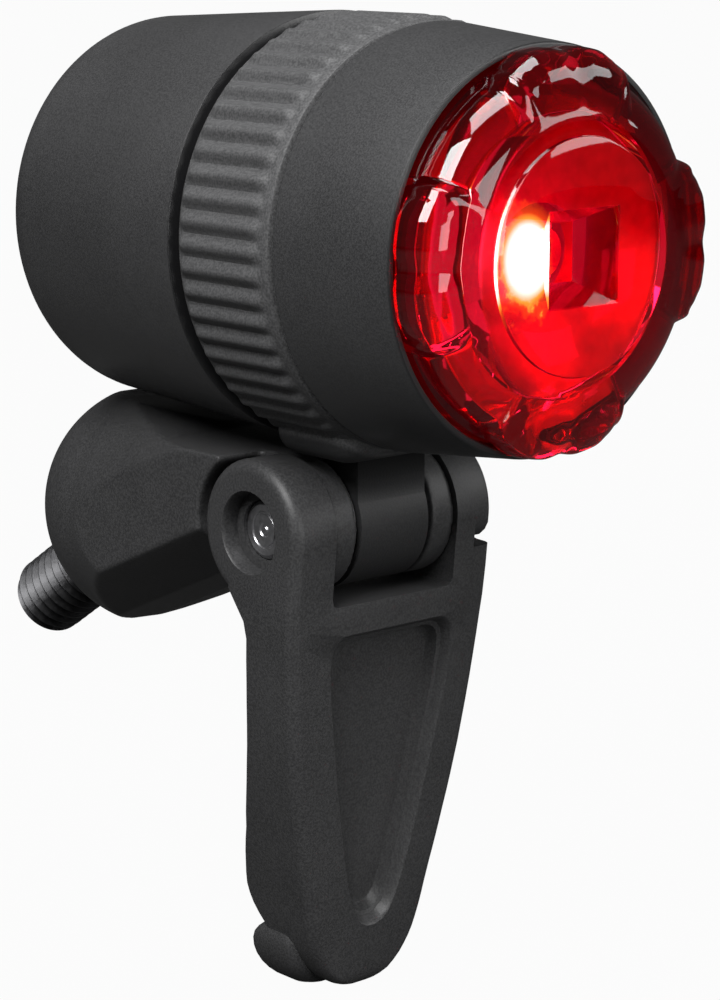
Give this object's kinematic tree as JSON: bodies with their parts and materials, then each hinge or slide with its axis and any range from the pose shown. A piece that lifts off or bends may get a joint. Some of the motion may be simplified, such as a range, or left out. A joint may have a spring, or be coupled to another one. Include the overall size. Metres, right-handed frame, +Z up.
{
  "type": "bike rear light",
  "caption": "Small barrel-shaped bicycle rear light with a red lens, a ribbed bracket ring on a hinge, a locking lever and a threaded mounting stud.",
  "frame": {"origin": "on the axis of the mounting stud, at the small flat face of the arm's nose where the stud comes out", "axes": "+Z up, -Y the way the lens looks, +X across, along the hinge pin"},
  "size_m": [0.0286, 0.059, 0.0679],
  "materials": {
    "black_anodised": "bead-blasted, black anodised",
    "black_plastic": "fine moulded grain",
    "bare_aluminium": "turned",
    "black_rubber": "smooth",
    "red_lens": "clear, moulded",
    "bright_bowl": "bright coated",
    "circuit_board": "solder mask",
    "light_source": "white",
    "clear_dome": "clear",
    "electronics": "moulded",
    "brass": "turned",
    "spring_steel": "rolled",
    "pin_steel": "turned end",
    "zinc_steel": "black zinc, rolled thread",
    "battery_can": "printed sleeve left plain",
    "sleeve_plastic": "moulded"
  },
  "bodies": {
    "base": {"base_arm": "black_plastic", "stud_insert": "brass", "mounting_stud": "zinc_steel", "pivot_pin": "pin_steel", "pivot_washers": "spring_steel"},
    "lamp": {"bracket_ring": "black_plastic", "inner_tube": "bare_aluminium", "head_seal": "black_rubber", "cap_seal": "black_rubber", "reflector": "bright_bowl", "led_board": "circuit_board", "led_package": "light_source", "led_dome": "clear_dome", "board_pins": "brass", "driver_board": "circuit_board", "driver_chip": "electronics", "driver_coil": "electronics", "front_contact": "brass", "battery": "battery_can", "battery_sleeve": "sleeve_plastic"},
    "head": {"front_shell": "black_anodised", "lens": "red_lens", "lens_gasket": "black_rubber"},
    "cap": {"rear_shell": "black_anodised", "rear_contact": "spring_steel", "contact_leaf": "spring_steel"},
    "lever": {"clamp_lever": "black_plastic"}
  },
  "joints": [
    {"name": "lamp_tilt", "type": "hinge", "parent": "base", "child": "lamp", "pos_m": [0, -0.02642, 0.00638], "axis": [1, 0, 0], "range_deg": [0, 20]},
    {"name": "lever_swing", "type": "hinge", "parent": "base", "child": "lever", "pos_m": [0, -0.02642, 0.00638], "axis": [-1, 0, 0], "range_deg": [0, 65]},
    {"name": "head_turn", "type": "hinge", "parent": "lamp", "child": "head", "pos_m": [0, -0.02642, 0.02598], "axis": [0, 1, 0], "range_deg": [0, 45]},
    {"name": "cap_turn", "type": "hinge", "parent": "lamp", "child": "cap", "pos_m": [0, -0.02642, 0.02598], "axis": [0, 1, 0], "range_deg": [0, 60]}
  ]
}
